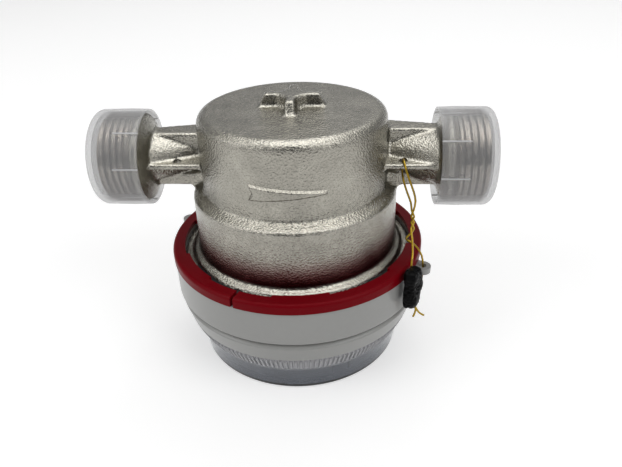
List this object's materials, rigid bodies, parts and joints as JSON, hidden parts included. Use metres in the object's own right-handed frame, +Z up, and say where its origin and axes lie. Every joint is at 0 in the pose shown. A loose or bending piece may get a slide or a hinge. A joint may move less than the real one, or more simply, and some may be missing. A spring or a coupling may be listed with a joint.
{
  "type": "water meter",
  "caption": "Small domestic water meter standing on its dial cover: nickel casting with capped threaded ends, red clamp ring, grey register and a wire seal.",
  "frame": {"origin": "middle of the dial cover's face, on which the meter stands as in the picture", "axes": "+X along the pipe, the way the water flows; +Z up, from the dial to the casting's closed base"},
  "size_m": [0.114, 0.0776, 0.0801],
  "materials": {
    "nickel_casting": "nickel-plated brass casting, satin with a sandy grain",
    "clear_cap": "thin milky translucent polythene",
    "red_plastic": "dark red moulded plastic",
    "grey_plastic": "light grey moulded plastic, satin",
    "clear_cover": "clear moulded plastic",
    "brass_wire": "thin bright brass wire",
    "black_seal": "black crimped seal",
    "white_dial": "white printed plate",
    "red_marks": "red moulded pointers",
    "black_drum": "black drums with white figures",
    "white_moulding": "natural moulded plastic",
    "gear_plastic": "cream moulded gear plastic",
    "magnet": "dark sintered magnet",
    "steel": "polished stainless pins",
    "jewel": "red bearing bush",
    "brass": "turned brass",
    "black_rubber": "black rubber"
  },
  "bodies": {
    "casing": {"meter_body": "nickel_casting", "inlet_strainer": "white_moulding", "pivot_pin": "steel", "pressure_plate": "brass", "plate_bush": "jewel", "plate_o_ring": "black_rubber", "lock_ring": "brass", "clamp_ring": "red_plastic", "register_housing": "grey_plastic", "dial_cover": "clear_cover", "cover_gasket": "black_rubber", "gear_base": "white_moulding", "register_frame": "white_moulding", "frame_screws": "steel", "dial_plate": "white_dial", "number_axle": "steel", "carry_axle": "steel", "seal_wire": "brass_wire", "wire_seal": "black_seal"},
    "impeller": {"impeller": "white_moulding", "impeller_bush": "jewel", "impeller_spindle": "steel", "drive_magnet": "magnet"},
    "follower": {"follower_spindle": "white_moulding", "follower_magnet": "magnet", "star_wheel": "red_marks"},
    "first_wheel": {"first_wheel": "gear_plastic"},
    "reversing_wheel": {"reversing_wheel": "gear_plastic"},
    "pointer_1": {"pointer_arbor_1": "gear_plastic", "pointer_1": "red_marks"},
    "pointer_2": {"pointer_arbor_2": "gear_plastic", "pointer_2": "red_marks"},
    "pointer_3": {"pointer_arbor_3": "gear_plastic", "pointer_3": "red_marks"},
    "pointer_4": {"pointer_arbor_4": "gear_plastic", "pointer_4": "red_marks"},
    "idler_1": {"idler_1": "gear_plastic"},
    "idler_2": {"idler_2": "gear_plastic"},
    "idler_3": {"idler_3": "gear_plastic"},
    "crown_arbor": {"crown_arbor": "gear_plastic"},
    "number_wheel_1": {"number_wheel_1": "black_drum"},
    "number_wheel_2": {"number_wheel_2": "black_drum"},
    "number_wheel_3": {"number_wheel_3": "black_drum"},
    "number_wheel_4": {"number_wheel_4": "black_drum"},
    "number_wheel_5": {"number_wheel_5": "black_drum"},
    "carry_pinion_1": {"carry_pinion_1": "white_moulding"},
    "carry_pinion_2": {"carry_pinion_2": "white_moulding"},
    "carry_pinion_3": {"carry_pinion_3": "white_moulding"},
    "carry_pinion_4": {"carry_pinion_4": "white_moulding"},
    "inlet_cap": {"inlet_cap": "clear_cap"},
    "outlet_cap": {"outlet_cap": "clear_cap"}
  },
  "joints": [
    {"name": "impeller_spin", "type": "hinge", "parent": "casing", "child": "impeller", "pos_m": [0, 0, 0.0615], "axis": [0, 0, -1], "continuous": true},
    {"name": "follower_spin", "type": "hinge", "parent": "casing", "child": "follower", "pos_m": [0, 0, 0.03], "axis": [0, 0, -1], "continuous": true},
    {"name": "first_wheel_spin", "type": "hinge", "parent": "casing", "child": "first_wheel", "pos_m": [-0.00839, -0.0004, 0.019], "axis": [0, 0, 1], "continuous": true},
    {"name": "reversing_wheel_spin", "type": "hinge", "parent": "casing", "child": "reversing_wheel", "pos_m": [-0.01139, 0.00141, 0.0206], "axis": [0, 0, 1], "continuous": true},
    {"name": "pointer_1_spin", "type": "hinge", "parent": "casing", "child": "pointer_1", "pos_m": [-0.01193, 0.00909, 0.019], "axis": [0, 0, 1], "continuous": true},
    {"name": "idler_1_spin", "type": "hinge", "parent": "casing", "child": "idler_1", "pos_m": [-0.00955, 0.01567, 0.019], "axis": [0, 0, 1], "continuous": true},
    {"name": "pointer_2_spin", "type": "hinge", "parent": "casing", "child": "pointer_2", "pos_m": [-0.00279, 0.01474, 0.019], "axis": [0, 0, 1], "continuous": true},
    {"name": "idler_2_spin", "type": "hinge", "parent": "casing", "child": "idler_2", "pos_m": [0.00339, 0.01803, 0.019], "axis": [0, 0, 1], "continuous": true},
    {"name": "pointer_3_spin", "type": "hinge", "parent": "casing", "child": "pointer_3", "pos_m": [0.00779, 0.01282, 0.019], "axis": [0, 0, 1], "continuous": true},
    {"name": "idler_3_spin", "type": "hinge", "parent": "casing", "child": "idler_3", "pos_m": [0.01458, 0.01114, 0.019], "axis": [0, 0, 1], "continuous": true},
    {"name": "pointer_4_spin", "type": "hinge", "parent": "casing", "child": "pointer_4", "pos_m": [0.01437, 0.00431, 0.019], "axis": [0, 0, 1], "continuous": true},
    {"name": "crown_spin", "type": "hinge", "parent": "casing", "child": "crown_arbor", "pos_m": [0.0117, -0.008, 0.019], "axis": [0, 0, 1], "continuous": true},
    {"name": "number_wheel_1_spin", "type": "hinge", "parent": "casing", "child": "number_wheel_1", "pos_m": [0.0084, -0.008, 0.012], "axis": [1, 0, 0], "continuous": true},
    {"name": "number_wheel_2_spin", "type": "hinge", "parent": "casing", "child": "number_wheel_2", "pos_m": [0.0042, -0.008, 0.012], "axis": [1, 0, 0], "continuous": true},
    {"name": "carry_pinion_1_spin", "type": "hinge", "parent": "casing", "child": "carry_pinion_1", "pos_m": [0.0062, -0.01146, 0.01546], "axis": [1, 0, 0], "continuous": true},
    {"name": "number_wheel_3_spin", "type": "hinge", "parent": "casing", "child": "number_wheel_3", "pos_m": [0, -0.008, 0.012], "axis": [1, 0, 0], "continuous": true},
    {"name": "carry_pinion_2_spin", "type": "hinge", "parent": "casing", "child": "carry_pinion_2", "pos_m": [0.002, -0.01146, 0.01546], "axis": [1, 0, 0], "continuous": true},
    {"name": "number_wheel_4_spin", "type": "hinge", "parent": "casing", "child": "number_wheel_4", "pos_m": [-0.0042, -0.008, 0.012], "axis": [1, 0, 0], "continuous": true},
    {"name": "carry_pinion_3_spin", "type": "hinge", "parent": "casing", "child": "carry_pinion_3", "pos_m": [-0.0022, -0.01146, 0.01546], "axis": [1, 0, 0], "continuous": true},
    {"name": "number_wheel_5_spin", "type": "hinge", "parent": "casing", "child": "number_wheel_5", "pos_m": [-0.0084, -0.008, 0.012], "axis": [1, 0, 0], "continuous": true},
    {"name": "carry_pinion_4_spin", "type": "hinge", "parent": "casing", "child": "carry_pinion_4", "pos_m": [-0.0064, -0.01146, 0.01546], "axis": [1, 0, 0], "continuous": true},
    {"name": "inlet_cap_pull", "type": "slide", "parent": "casing", "child": "inlet_cap", "axis": [-1, 0, 0], "range_m": [0, 0.02]},
    {"name": "outlet_cap_pull", "type": "slide", "parent": "casing", "child": "outlet_cap", "axis": [1, 0, 0], "range_m": [0, 0.02]}
  ],
  "couplings": [
    {"joint": "follower_spin", "follows": "impeller_spin", "ratio": 1},
    {"joint": "first_wheel_spin", "follows": "impeller_spin", "ratio": 0.2},
    {"joint": "reversing_wheel_spin", "follows": "impeller_spin", "ratio": -0.13333},
    {"joint": "pointer_1_spin", "follows": "impeller_spin", "ratio": 0.05},
    {"joint": "idler_1_spin", "follows": "impeller_spin", "ratio": -0.016667},
    {"joint": "pointer_2_spin", "follows": "impeller_spin", "ratio": 0.005},
    {"joint": "idler_2_spin", "follows": "impeller_spin", "ratio": -0.0016667},
    {"joint": "pointer_3_spin", "follows": "impeller_spin", "ratio": 0.0005},
    {"joint": "idler_3_spin", "follows": "impeller_spin", "ratio": -0.00016667},
    {"joint": "pointer_4_spin", "follows": "impeller_spin", "ratio": 0.00005},
    {"joint": "crown_spin", "follows": "impeller_spin", "ratio": -0.00001},
    {"joint": "number_wheel_1_spin", "follows": "impeller_spin", "ratio": -0.000005},
    {"joint": "number_wheel_2_spin", "follows": "impeller_spin", "ratio": -0.0000005},
    {"joint": "carry_pinion_1_spin", "follows": "impeller_spin", "ratio": 0.00000125},
    {"joint": "number_wheel_3_spin", "follows": "impeller_spin", "ratio": -0.00000005},
    {"joint": "carry_pinion_2_spin", "follows": "impeller_spin", "ratio": 0.000000125},
    {"joint": "number_wheel_4_spin", "follows": "impeller_spin", "ratio": -0.000000005},
    {"joint": "carry_pinion_3_spin", "follows": "impeller_spin", "ratio": 0.0000000125},
    {"joint": "number_wheel_5_spin", "follows": "impeller_spin", "ratio": -0.0000000005},
    {"joint": "carry_pinion_4_spin", "follows": "impeller_spin", "ratio": 0.00000000125}
  ]
}
